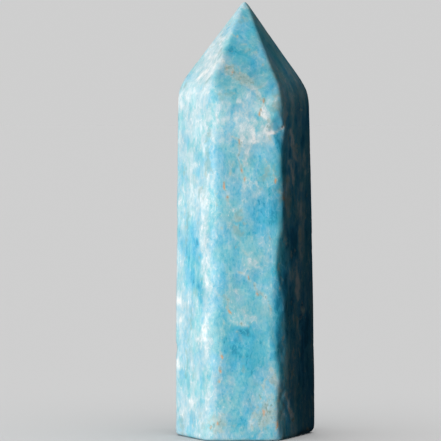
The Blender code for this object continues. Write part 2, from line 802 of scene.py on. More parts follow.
    def _settle(self, board: Board, skin: Term, outside: Term, passes: Term) -> Term:
        """Slide every point along its ray until it lies on a surface.

        Args:
            board: the tree's board.
            skin: the mesh, which carries the rays.
            outside: how far a point lies outside the surface.
            passes: how many times the points slide.

        Returns:
            The settled mesh.
        """
        first = board.add("GeometryNodeRepeatInput")
        last = board.add("GeometryNodeRepeatOutput")
        first.pair_with_output(last)
        board.tree.links.new(passes.socket, first.inputs["Iterations"])
        board.tree.links.new(skin.socket, first.inputs["Geometry"])
        slide = self._stored(board, "ray") * (outside * -1.0)
        sockets = {"Geometry": Term(board, first.outputs["Geometry"]), "Offset": slide}
        moved = board.term("GeometryNodeSetPosition", sockets=sockets)
        board.tree.links.new(moved.socket, last.inputs["Geometry"])
        return Term(board, last.outputs["Geometry"])

    def _outside(
        self, board: Board, given: dict[str, Term], facets: Facets, place: Term
    ) -> tuple[Term, Term, Term]:
        """Say how far a place lies outside the stone, and how near it is to an edge.

        Args:
            board: the tree's board.
            given: the tree's inputs.
            facets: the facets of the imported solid.
            place: the place.

        Returns:
            The distance outside the worn stone and outside the sharp one, both negative inside, and
            the wear, from 0 on a face to 1 on an edge.
        """
        rise = board.split(place)[2] / self.shoulder_height
        swell = given["Belly"] * 4.0 * rise * (1.0 - rise)
        uneven = board.noise(place, 9.0 * MM, detail=1.0, shift=40.0)
        wander = board.step(board.noise(place, self.bend_length, detail=2.0, shift=43.0), 0.36, 0.66)
        soft = self._near_edge(board, facets, place, self.soft_edge_turn)
        bent = self._near_edge(board, facets, place, self.bent_edge_turn) * wander
        softness = given["Crisp edge"] + (given["Soft edge"] - given["Crisp edge"]) * soft * (0.5 + uneven)
        softness = softness + (given["Bent edge"] - given["Crisp edge"]) * bent
        shoulder = given["Soft shoulder"] * (0.5 + uneven)
        body = self._hull(board, given, facets.of_cut(Cut.BODY), place, softness)
        point = self._hull(board, given, facets.of_cut(Cut.POINT), place, given["Soft ridge"])
        base = self._hull(board, given, facets.of_cut(Cut.BASE), place, given["Soft rim"])
        rounded = board.reckon("SMOOTH_MAX", body.rounded - swell, point.rounded, shoulder)
        worn = self._near_edge(board, facets, place, self.worn_rim_turn)
        rim = given["Soft rim"] * (0.4 + 1.2 * uneven) + given["Worn rim"] * worn
        rounded = board.reckon("SMOOTH_MAX", rounded, base.rounded, rim)
        waved = board.reckon("MAXIMUM", body.waved - swell, point.waved)
        waved = board.reckon("MAXIMUM", waved, base.waved)
        sharp = board.reckon("MAXIMUM", body.sharp, point.sharp)
        sharp = board.reckon("MAXIMUM", sharp, base.sharp)
        crest = board.step(rounded - waved, 0.02 * MM, 0.20 * MM)
        chips = board.noise(place, self.chip_length, detail=2.0, roughness=0.6, shift=50.0)
        outside = rounded + board.step(chips, 0.50, 0.75) * crest * given["Chip depth"]
        return self._break_away(board, facets, place, outside), sharp, crest

    def _break_away(self, board: Board, facets: Facets, place: Term, outside: Term) -> Term:
        """Take the nicks and the flakes away from the worn stone.

        Args:
            board: the tree's board.
            facets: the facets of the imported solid.
            place: the place.
            outside: how far the place lies outside the stone before that.

        Returns:
            How far the place lies outside what is left.
        """
        rough = board.noise(place, self.break_length, detail=2.0, roughness=0.6, shift=60.0, output="Color")
        broken = place + (rough - NOISE_MIDDLE) * self.break_roughness
        for nick in self.nicks:
            bite = nick.inside(board, facets, broken)
            outside = board.reckon("SMOOTH_MAX", outside, bite, self.nick_lip)
        for flake in self.flakes:
            outside = board.reckon("MAXIMUM", outside, flake.inside(board, facets, broken))
        return outside

    def _near_edge(self, board: Board, facets: Facets, place: Term, turn: float) -> Term:
        """Say whether a place is near one of the long edges.

        Args:
            board: the tree's board.
            facets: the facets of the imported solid.
            place: the place.
            turn: where the edge is, in degrees from the front.

        Returns:
            A number that rises from 0 to 1 towards the edge.
        """
        toward = facets.edge(turn, 0.0).normalized()
        return board.step(board.dot(place, toward), *self.edge_zone)

    def _hull(
        self, board: Board, given: dict[str, Term], facets: tuple[Facet, ...], place: Term, softness: Term
    ) -> Hull:
        """Join facets into one rounded hull.

        Args:
            board: the tree's board.
            given: the tree's inputs.
            facets: the facets, in the order of their turn.
            place: the place that is measured.
            softness: how far from an edge its rounding starts.

        Returns:
            How far the place lies outside the three forms of the hull.
        """
        hull = None
        for facet in facets:
            flat = board.dot(place, given[f"{facet.name}, outward"]) - given[f"{facet.name}, reach"]
            depth = flat
            if facet.cut is not Cut.BASE:
                # every facet has waves of its own
                shift = facet.turn if facet.cut is Cut.BODY else facet.turn + 500.0
                wave = board.noise(place, self.wave_length, detail=1.0, shift=shift) - 0.5
                ripple = board.noise(place, self.ripple_length, detail=1.0, shift=shift + 7.0) - 0.5
                depth = flat + wave * 2.0 * given["Wave height"] + ripple * 2.0 * given["Ripple height"]
            hull = Hull(
                board.reckon("MAXIMUM", hull.sharp, flat) if hull else flat,
                board.reckon("MAXIMUM", hull.waved, depth) if hull else depth,
                board.reckon("SMOOTH_MAX", hull.rounded, depth, softness) if hull else depth,
            )
        return hull


# ---------------------------------------------------------------- the markings


@dataclass(frozen=True)
class Cloud:
    """One soft patch on a face.

    Attributes:
        x: how far its middle is to the right, in millimetres.
        z: the height of its middle, in millimetres.
        wide: half its width, in millimetres.
        tall: half its length, in millimetres.
        lean: how far its length leans to the right of upright, in degrees.
        pale: how much paler it is than the stone round it; a bluer patch has less than 0.
        rust: how brown it is.
    """

    x: float
    z: float
    wide: float
    tall: float
    lean: float
    pale: float
    rust: float = 0.0

    def cover(self, places: np.ndarray) -> np.ndarray:
        """Say how much of the patch lies at each place.

        Args:
            places: the places, right and up, in millimetres.

        Returns:
            The shares, from 0 to 1.
        """
        lean = math.radians(self.lean)
        right = places[:, 0] - self.x
        up = places[:, 1] - self.z
        across = (right * math.cos(lean) - up * math.sin(lean)) / self.wide
        along = (right * math.sin(lean) + up * math.cos(lean)) / self.tall
        return np.exp(-((across**2 + along**2) ** 1.4))


@dataclass(frozen=True)
class Seam:
    """One thin seam on a face.

    Attributes:
        points: the places that it passes, right and up, in millimetres.
        wide: half its width, in millimetres.
        pale: how much paler it is than the stone round it.
        rust: how brown it is.
    """

    points: tuple[tuple[float, float], ...]
    wide: float
    pale: float
    rust: float

    def cover(self, places: np.ndarray) -> np.ndarray:
        """Say how much of the seam lies at each place.

        Args:
            places: the places, right and up, in millimetres.

        Returns:
            The shares, from 0 to 1.
        """
        nearest = np.full(len(places), np.inf)
        for start, end in zip(self.points, self.points[1:]):
            run = np.subtract(end, start)
            share = np.clip((places - start) @ run / (run @ run), 0.0, 1.0)
            gap = np.linalg.norm(places - start - share[:, None] * run, axis=1)
            nearest = np.minimum(nearest, gap)
        return np.exp(-((nearest / self.wide) ** 1.6))


@dataclass(frozen=True)
class Fleck:
    """One small rusty fleck on a face.

    Attributes:
        x: how far it is to the right, in millimetres.
        z: its height, in millimetres.
        tall: half its length, in millimetres.
        rust: how brown it is.
        wide: half its width, in millimetres.
    """

    x: float
    z: float
    tall: float
    rust: float
    wide: float = 0.27

    def cover(self, places: np.ndarray) -> np.ndarray:
        """Say how much of the fleck lies at each place.

        Args:
            places: the places, right and up, in millimetres.

        Returns:
            The shares, from 0 to 1.
        """
        across = (places[:, 0] - self.x) / self.wide
        along = (places[:, 1] - self.z) / self.tall
        return np.exp(-(across**2 + along**2))


# The marks on the front are laid one by one, at millimetres to the right and up.

FRONT_CLOUDS = (
    # the point
    Cloud(-0.4, 86.6, 0.8, 1.2, 20, 0.36),
    # a bluer patch over the point's front facets: partly the stone's own blue, partly painted shade where
    # those facets face upwards
    Cloud(1.4, 78.0, 4.0, 6.0, -20, -0.26),
    Cloud(0.4, 84.4, 0.9, 1.2, 0, 0.05),
    Cloud(1.6, 82.4, 0.8, 1.4, -25, -0.14),
    Cloud(3.2, 80.0, 0.7, 2.2, -30, -0.12),
    Cloud(1.6, 80.2, 0.9, 1.4, 0, 0.24),
    Cloud(-2.8, 77.3, 1.3, 1.8, -30, -0.28),
    Cloud(1.0, 74.3, 1.6, 1.8, -35, -0.16),
    Cloud(-0.8, 76.2, 1.2, 1.6, -35, -0.14),
    Cloud(4.4, 75.2, 1.1, 1.6, -30, 0.24),
    Cloud(-3.8, 71.3, 2.0, 1.1, -65, -0.38),
    Cloud(4.7, 70.1, 1.3, 1.5, 30, -0.34),
    Cloud(6.4, 75.2, 0.8, 3.4, -32, -0.16),
    Cloud(9.0, 71.0, 0.9, 2.0, -30, -0.14),
    Cloud(-2.3, 80.2, 0.8, 4.2, 20, -0.18),
    Cloud(-1.4, 72.6, 1.6, 4.6, -54, 0.08, 0.72),
    Cloud(-3.8, 74.0, 1.2, 1.5, -20, 0.02, 0.74),
    Cloud(0.2, 78.3, 0.7, 3.4, -50, 0.12, 0.46),
    # the upper part of the front face
    Cloud(-5.8, 69.6, 1.2, 1.6, 0, -0.12),
    Cloud(-1.0, 64.0, 7.4, 6.0, 0, 0.39),
    Cloud(0.0, 33.0, 6.5, 12.0, 0, -0.09),
    Cloud(-1.0, 52.0, 6.0, 6.0, 0, 0.05),
    Cloud(3.2, 67.6, 0.7, 1.2, -10, 0.30),
    Cloud(3.6, 65.2, 0.8, 1.8, -35, 0.36),
    Cloud(4.4, 62.1, 0.9, 1.1, 0, 0.42),
    Cloud(4.9, 59.8, 0.7, 1.3, -25, 0.28),
    Cloud(0.2, 63.8, 0.6, 1.1, -35, 0.14),
    Cloud(-3.0, 60.8, 1.2, 0.8, 50, 0.22),
    Cloud(-0.9, 59.5, 1.1, 0.8, -60, 0.36),
    Cloud(1.2, 59.0, 0.9, 2.6, 22, 0.26),
    Cloud(-4.4, 55.4, 1.8, 2.4, 10, -0.10),
    Cloud(3.1, 55.4, 2.2, 2.6, -15, -0.14),
    Cloud(-5.3, 48.8, 0.9, 1.7, 0, -0.12),
    Cloud(2.0, 50.5, 1.1, 2.8, -10, 0.12),
    Cloud(4.0, 52.0, 1.0, 2.0, -20, -0.10),
    # the middle of the front face
    Cloud(3.2, 44.6, 2.8, 2.6, -20, -0.24),
    Cloud(2.4, 42.4, 1.6, 1.6, 0, -0.12),
    Cloud(-4.5, 40.8, 1.2, 2.8, 5, -0.12),
    Cloud(-0.5, 42.1, 0.7, 1.1, 0, -0.12),
    Cloud(-1.7, 37.1, 1.1, 1.8, 0, -0.20),
    Cloud(1.4, 35.4, 1.6, 0.9, -30, 0.28),
    Cloud(4.2, 36.8, 1.8, 1.8, 0, 0.12),
    Cloud(-4.8, 33.0, 1.0, 1.8, 0, -0.14),
    Cloud(-4.6, 29.4, 0.9, 1.0, 0, -0.14),
    Cloud(-0.1, 33.1, 0.6, 1.3, -60, 0.24),
    Cloud(3.1, 30.4, 1.0, 1.5, 20, 0.20),
    Cloud(4.5, 27.6, 0.8, 1.6, -25, 0.20),
    Cloud(-1.0, 24.8, 1.7, 1.2, 0, 0.32),
    Cloud(2.1, 26.8, 0.7, 2.2, -15, -0.14),
    # the lower part of the front face
    Cloud(-0.6, 21.8, 2.0, 0.9, 20, -0.38),
    Cloud(0.2, 18.6, 4.8, 5.0, 0, -0.31),
    Cloud(-2.7, 19.0, 1.2, 2.6, 20, -0.12),
    Cloud(0.8, 15.0, 1.8, 1.8, 0, -0.14),
    Cloud(-6.1, 21.6, 0.7, 3.2, 0, -0.08),
    Cloud(-2.8, 9.4, 0.7, 2.2, -15, -0.14),
    Cloud(0.5, 11.2, 1.6, 2.2, 0, -0.08),
    Cloud(-0.5, 4.0, 7.0, 5.0, 0, 0.08, 0.18),
    Cloud(-1.5, 3.6, 1.4, 1.1, 0, -0.30),
    Cloud(1.2, 2.6, 0.8, 1.4, 10, 0.26),
    Cloud(4.2, 5.6, 2.4, 4.8, 22, 0.15, 0.71),
    Cloud(4.9, 9.7, 1.2, 1.5, 0, -0.12),
    Cloud(-5.8, 3.4, 2.6, 2.0, 0, 0.08, 0.66),
    Cloud(5.6, 11.6, 0.9, 2.2, -20, 0.12, 0.55),
    Cloud(6.0, 3.4, 0.5, 1.1, 0, 0.40),
    # the strip beside the right edge
    Cloud(6.2, 59.6, 1.3, 2.4, -12, -0.52),
    Cloud(6.3, 64.0, 1.1, 2.2, 0, -0.40),
    Cloud(6.8, 55.0, 1.1, 4.0, 0, -0.36),
    Cloud(6.5, 46.6, 1.5, 5.0, 0, -0.44),
    Cloud(6.6, 33.0, 1.3, 9.5, 0, -0.44),
    Cloud(6.6, 20.5, 1.2, 7.0, 0, -0.40),
    # the left face: paler, partly the stone's own milky white and partly a painted sheen from the light on
    # the left
    Cloud(-11.5, 36.0, 4.6, 44.0, 0, 0.20),
    Cloud(-9.0, 71.0, 3.2, 6.0, 35, 0.16),
    Cloud(-5.2, 79.0, 1.9, 8.0, 29, 0.34),
    Cloud(-13.1, 67.6, 1.3, 2.4, 0, 0.20),
    Cloud(-7.6, 36.0, 0.9, 36.0, 0, 0.18),
    Cloud(-11.6, 59.2, 0.6, 1.4, 0, -0.24),
    Cloud(-12.5, 54.0, 0.5, 1.2, 0, -0.22),
    Cloud(-9.4, 56.4, 0.6, 2.2, -8, -0.16),
    Cloud(-8.6, 62.6, 0.4, 1.3, 22, 0.22),
    Cloud(-10.2, 54.8, 0.5, 0.8, 0, 0.24),
    Cloud(-9.0, 48.6, 0.8, 2.4, -5, 0.10),
    Cloud(-10.4, 41.0, 0.9, 2.8, -8, -0.40),
    Cloud(-9.7, 36.6, 0.9, 3.2, -12, -0.44),
    Cloud(-12.0, 38.0, 1.2, 2.8, -12, -0.44),
    Cloud(-10.8, 32.6, 1.5, 3.6, -14, -0.36),
    Cloud(-9.3, 30.0, 1.0, 2.6, -10, -0.36),
    Cloud(-8.8, 26.6, 0.6, 2.0, 0, -0.20),
    Cloud(-9.7, 24.4, 0.4, 1.6, -8, -0.18),
    Cloud(-13.3, 27.3, 1.0, 1.4, 0, 0.26),
    Cloud(-13.3, 24.0, 0.8, 1.2, 0, 0.24),
    Cloud(-8.9, 20.3, 1.1, 0.8, -20, 0.46, 0.30),
    Cloud(-8.1, 22.2, 0.45, 1.4, 24, 0.36, 0.25),
    Cloud(-7.6, 19.5, 0.6, 0.8, 0, 0.30, 0.25),
    Cloud(-12.2, 20.5, 0.7, 2.0, 0, -0.12),
    Cloud(-10.2, 16.4, 0.6, 2.6, -12, -0.16),
    Cloud(-12.2, 11.2, 0.7, 2.6, 0, -0.12),
    Cloud(-13.3, 14.4, 0.9, 0.8, 40, 0.30),
    Cloud(-10.7, 7.2, 1.0, 1.3, 0, 0.32),
    Cloud(-7.9, 34.0, 0.8, 9.0, -6, 0.22),
    Cloud(-13.1, 5.4, 1.2, 1.8, 0, 0.26),
    Cloud(-10.8, 3.8, 0.7, 1.6, 0, -0.12),
    # the right face
    Cloud(10.8, 14.0, 3.6, 36.0, 0, -0.12),
    Cloud(6.6, 78.0, 1.8, 7.5, -33, 0.04),
    Cloud(10.0, 70.0, 3.5, 3.4, 0, 0.05),
    Cloud(8.3, 63.4, 0.5, 1.6, 0, -0.22),
    Cloud(10.2, 63.6, 0.6, 1.2, 0, -0.22),
    Cloud(10.6, 65.9, 1.5, 0.4, 0, -0.12, 0.30),
    Cloud(11.2, 59.6, 0.9, 1.7, 0, -0.24),
    Cloud(8.1, 57.2, 0.5, 2.2, 0, -0.22),
    Cloud(12.0, 53.2, 0.5, 0.9, 0, 0.10, 0.50),
    Cloud(8.0, 53.4, 0.6, 1.8, 0, -0.22),
    Cloud(10.8, 51.8, 0.7, 1.4, 0, -0.26),
    Cloud(12.0, 48.6, 0.8, 2.6, 0, -0.22),
    Cloud(9.5, 40.5, 0.9, 2.4, 0, -0.22),
    Cloud(7.9, 39.9, 0.6, 1.5, 0, -0.10, 0.45),
    Cloud(9.4, 36.8, 0.7, 1.4, 0, -0.12, 0.45),
    Cloud(9.3, 27.4, 0.6, 1.5, 10, -0.12, 0.50),
    Cloud(11.4, 26.0, 0.5, 2.4, 0, -0.06, 0.50),
    Cloud(12.4, 21.5, 1.3, 3.4, 0, -0.30),
    Cloud(11.8, 13.0, 1.4, 5.0, 0, -0.26),
    Cloud(8.0, 13.0, 0.7, 4.0, 0, 0.12),
)

FRONT_SEAMS = (
    Seam(((-2.9, 81.0), (-1.4, 79.6), (0.2, 78.6), (1.4, 77.0), (3.2, 75.9)), 0.30, 0.08, 0.45),
    Seam(((-4.3, 75.4), (-2.0, 72.9), (1.2, 71.4), (2.3, 69.3)), 0.30, 0.16, 0.55),
    Seam(((2.6, 74.7), (2.0, 73.0), (1.2, 71.3)), 0.30, 0.22, 0.20),
    Seam(((-2.5, 81.3), (-7.1, 78.1)), 0.34, 0.16, 0.52),
    Seam(((-4.7, 76.0), (-9.6, 71.9)), 0.40, 0.18, 0.34),
    Seam(((-5.8, 68.2), (-4.0, 68.6), (-1.6, 68.4)), 0.20, 0.16, 0.0),
    Seam(((2.3, 69.3), (3.6, 67.0), (2.8, 65.8), (4.6, 63.6), (4.2, 61.8), (5.6, 58.8)), 0.35, 0.26, 0.62),
    Seam(((4.9, 61.2), (6.2, 61.5), (7.3, 62.2)), 0.24, 1.20, 0.0),
    Seam(((1.9, 61.8), (1.3, 59.0), (-0.2, 55.8)), 0.30, 0.18, 0.0),
    Seam(((-3.1, 60.8), (-0.9, 59.3), (-1.6, 56.4), (-0.8, 54.0), (0.0, 51.4)), 0.28, 0.24, 0.76),
    Seam(((-1.7, 56.3), (-2.8, 54.3), (-3.9, 51.2), (-3.6, 46.9)), 0.26, 0.20, 0.58),
    Seam(((3.7, 55.9), (5.4, 53.2), (5.7, 51.4)), 0.28, 0.26, 0.56),
    Seam(((1.4, 53.2), (2.6, 50.4), (2.0, 48.2), (1.2, 49.6)), 0.25, 0.16, 0.0),
    Seam(((-2.5, 46.0), (-2.5, 41.2), (-0.8, 38.7), (0.5, 36.0), (1.8, 35.0)), 0.35, 0.24, 0.25),
    Seam(((-4.5, 36.1), (-3.2, 33.3), (-3.2, 30.7), (-4.2, 28.2), (-6.2, 30.4)), 0.30, 0.26, 0.30),
    Seam(((-1.4, 33.8), (0.3, 32.7), (2.6, 30.0), (4.4, 27.8), (4.9, 25.4)), 0.30, 0.20, 0.62),
    Seam(((-3.2, 24.0), (-1.4, 23.3), (0.6, 23.0)), 0.36, 0.40, 0.60),
    Seam(((-3.8, 28.4), (-3.5, 26.6), (-2.9, 25.3)), 0.34, 0.06, 0.85),
    Seam(((-2.2, 22.8), (-1.1, 20.5), (0.2, 17.6)), 0.22, 0.14, 0.0),
    Seam(((-4.4, 24.2), (-4.7, 20.5), (-4.8, 16.8), (-5.1, 14.0), (-5.4, 11.4)), 0.28, 0.20, 0.50),
    Seam(((-6.8, 11.9), (-5.8, 10.1)), 0.40, 0.34, 0.10),
    Seam(((4.9, 14.2), (3.5, 10.3), (2.0, 6.3), (0.9, 4.3), (1.3, 2.0)), 0.34, 0.26, 0.55),
    Seam(((4.6, 18.0), (4.9, 14.2), (6.0, 12.2), (6.9, 10.0)), 0.30, 0.28, 0.45),
    Seam(((-2.9, 12.8), (-1.4, 8.8), (-0.8, 7.4)), 0.26, 0.18, 0.15),
    Seam(((-4.4, 11.7), (-2.8, 6.9), (-2.2, 5.7), (-0.5, 5.4), (0.9, 4.3)), 0.30, 0.24, 0.25),
    # the right face
    Seam(((8.0, 65.2), (8.0, 62.4)), 0.25, 0.25, 0.60),
    Seam(((9.0, 61.9), (9.4, 58.7)), 0.35, 0.42, 0.0),
    Seam(((9.4, 58.7), (9.9, 56.7), (10.1, 55.9)), 0.45, 0.38, 0.50),
    Seam(((11.9, 58.0), (11.7, 54.5)), 0.25, 0.30, 0.45),
    Seam(((9.0, 55.4), (9.5, 52.1), (9.6, 51.2)), 0.40, 0.46, 0.10),
    Seam(((8.4, 52.2), (8.2, 50.2)), 0.40, 0.30, 0.50),
    Seam(((11.3, 51.0), (11.4, 49.4)), 0.30, 0.32, 0.0),
    Seam(((7.6, 49.2), (8.2, 46.2)), 0.45, 0.34, 0.70),
    Seam(((8.6, 45.4), (8.6, 44.2)), 0.30, 0.30, 0.60),
    Seam(((11.1, 47.0), (11.1, 44.8)), 0.45, 0.50, 0.0),
    Seam(((10.7, 42.4), (10.9, 39.8)), 0.35, 0.28, 0.70),
    Seam(((10.9, 38.4), (11.1, 36.2)), 0.45, 0.32, 0.0),
    Seam(((10.1, 35.2), (10.5, 31.4)), 0.50, 0.34, 0.10),
    Seam(((9.3, 33.2), (9.2, 31.8)), 0.40, 0.28, 0.0),
    Seam(((10.5, 31.6), (10.5, 27.8)), 0.45, 0.50, 0.20),
    Seam(((9.7, 25.0), (9.5, 23.6)), 0.40, 0.28, 0.0),
    Seam(((10.7, 23.4), (10.7, 19.6)), 0.35, 0.36, 0.0),
    Seam(((9.5, 17.4), (9.5, 14.1), (9.3, 12.4)), 0.50, 0.10, 0.60),
    Seam(((8.9, 12.0), (8.9, 9.6)), 0.40, 0.22, 0.30),
    Seam(((8.0, 9.4), (8.6, 7.2), (9.3, 4.6)), 0.25, 0.46, 0.45),
    Seam(((13.5, 7.6), (13.7, 3.4)), 0.25, 0.26, 0.45),
)

FRONT_FLECKS = (
    Fleck(2.0, 84.0, 0.5, 0.90),
    Fleck(3.4, 74.8, 0.6, 0.90),
    Fleck(-1.8, 80.3, 0.5, 0.88),
    Fleck(3.7, 67.6, 0.9, 1.30),
    Fleck(3.0, 65.2, 0.8, 1.30),
    Fleck(-0.6, 54.2, 0.9, 1.20),
    Fleck(-0.2, 52.0, 0.6, 1.00),
    Fleck(-1.4, 59.4, 0.9, 1.20),
    Fleck(-3.9, 48.4, 0.5, 1.00),
    Fleck(-3.9, 50.6, 1.1, 1.40),
    Fleck(5.7, 51.6, 0.8, 1.30),
    Fleck(7.6, 48.1, 0.9, 1.04),
    Fleck(-4.6, 42.5, 0.5, 0.78),
    Fleck(-2.2, 38.6, 0.6, 0.78),
    Fleck(5.0, 40.6, 0.5, 0.78),
    Fleck(0.3, 32.7, 0.6, 1.04),
    Fleck(2.6, 29.3, 0.6, 1.04),
    Fleck(4.2, 28.3, 0.6, 0.91),
    Fleck(-3.3, 25.5, 0.7, 1.04),
    Fleck(-3.1, 23.2, 0.5, 0.91),
    Fleck(-4.9, 17.0, 0.6, 1.30),
    Fleck(-4.9, 14.0, 0.6, 1.30),
    Fleck(-5.3, 12.0, 0.5, 1.17),
    Fleck(6.0, 13.0, 0.9, 0.91),
    Fleck(6.1, 3.2, 1.3, 1.50),
    Fleck(-6.7, 2.7, 0.5, 1.17),
    Fleck(-5.4, 3.6, 0.5, 1.04),
    Fleck(3.2, 8.4, 0.6, 0.78),
    Fleck(9.6, 3.8, 0.4, 1.04),
    Fleck(12.6, 1.0, 0.5, 1.17),
)


@dataclass
class Markings:
    """The clouds, seams and flecks that can be told apart on the stone.

    Those on the front are laid one by one, as seen from the front. Those on the back are scattered over
    the unrolled faces.

    Attributes:
        seed: the seed of the scattering and of the wandering outlines.
        back_clouds: how many clouds the back has.
        back_seams: how many seams the back has.
        back_reach: how far round from the middle of the back they lie, in millimetres.
        stray: how far the outlines wander, in millimetres.
        stray_length: the size of one such bend, in millimetres.
    """

    seed: int = 11
    back_clouds: int = 90
    back_seams: int = 34
    back_reach: float = 22.0
    stray: float = 0.55
    stray_length: float = 1.6

    def draw(self, skin: bpy.types.Object) -> None:
        """Store the markings on the skin's points.

        Args:
            skin: the stone's skin.
        """
        count = len(skin.data.vertices)
        places = np.zeros(count * 3)
        normals = np.zeros(count * 3)
        skin.data.vertices.foreach_get("co", places)
        skin.data.vertex_normals.foreach_get("vector", normals)
        places = places.reshape(-1, 3) / MM
        normals = normals.reshape(-1, 3)
        noise.seed_set(self.seed)
        wander = np.array([noise.noise_vector(place / self.stray_length) for place in map(Vector, places)])
        around = np.arctan2(-places[:, 0], places[:, 1]) * np.hypot(places[:, 0], places[:, 1])
        heights = places[:, 2]
        front = np.column_stack((places[:, 0], heights)) + wander[:, :2] * self.stray
        back = np.column_stack((around, heights)) + wander[:, :2] * self.stray
        behind = self._ease((normals[:, 1] + 0.05) / 0.3)
        upright = self._ease((normals[:, 2] + 0.9) / 0.4)
        pale = np.zeros(count)
        rust = np.zeros(count)
        clouds, seams = self._scatter()
        for flat, share, patches, lines, flecks in (
            (front, (1.0 - behind) * upright, FRONT_CLOUDS, FRONT_SEAMS, FRONT_FLECKS),
            (back, behind * upright, clouds, seams, ()),
        ):
            for mark in patches + lines:
                pale += share * mark.pale * mark.cover(flat)
            for mark in patches + lines + flecks:
                rust = np.maximum(rust, share * mark.rust * mark.cover(flat))
        for name, values in ((CLOUD, pale), (RUST, rust)):
            layer = skin.data.attributes.new(name, "FLOAT", "POINT")
            layer.data.foreach_set("value", values)

    def _scatter(self) -> tuple[tuple[Cloud, ...], tuple[Seam, ...]]:
        """Scatter marks over the back.

        Returns:
            The clouds and the seams.
        """
        draw = random.Random(self.seed)
        reach = self.back_reach
        clouds = []
        for _ in range(self.back_clouds):
            pale = draw.choice((-0.30, -0.24, -0.16, 0.14, 0.24, 0.38))
            size = draw.uniform(0.7, 1.9) if pale > 0 else draw.uniform(0.9, 2.4)
            lean = draw.choice((-1, 1)) * draw.uniform(5, 30)
            spot = (draw.uniform(-reach, reach), draw.uniform(1, 86))
            clouds.append(Cloud(*spot, size, size * draw.uniform(1.2, 2.6), lean, pale))
        seams = []
        for _ in range(self.back_seams):
            spot = Vector((draw.uniform(-reach, reach), draw.uniform(6, 84)))
            points = [spot[:]]
            for _ in range(draw.randint(2, 4)):
                slope = math.radians(draw.choice((-1, 1)) * draw.uniform(12, 38))
                spot = spot + Vector((math.sin(slope), -math.cos(slope))) * draw.uniform(1.5, 4.5)
                points.append(spot[:])
            wide = draw.uniform(0.22, 0.45)
            pale = draw.uniform(0.14, 0.3)
            seams.append(Seam(tuple(points), wide, pale, draw.uniform(0, 0.8)))
        return tuple(clouds), tuple(seams)

    @staticmethod
    def _ease(share: np.ndarray) -> np.ndarray:
        """Return a smooth step of a share that is held between 0 and 1."""
        held = np.clip(share, 0.0, 1.0)
        return held * held * (3.0 - 2.0 * held)


# ---------------------------------------------------------------- the finish


@dataclass(frozen=True)
class Blocks:
    """The slanting blocks that the stone is grown from.

    Attributes:
        tone: how pale each block is, from 0 to 1.
        seam: how near a place is to the seam between two blocks, from 0 to 1.
    """

    tone: Term
    seam: Term


@dataclass(frozen=True)
class Spot:
    """What the finish reads at a place on the stone.

    Attributes:
        place: the place itself.
        bent: the place, shifted a little at random.
        layered: the same, stretched along the slanting layers.
        across: how far to the right it is.
        height: how high it is.
        left: how far it belongs to the left side, from 0 to 1.
        right: how far it belongs to the right side, from 0 to 1.
        grain: the fine grain, drawn out upwards.
        blocks: the large blocks.
    """

    place: Term
    bent: Term
    layered: Term
    across: Term
    height: Term
    left: Term
    right: Term
    grain: Term
    blocks: Blocks


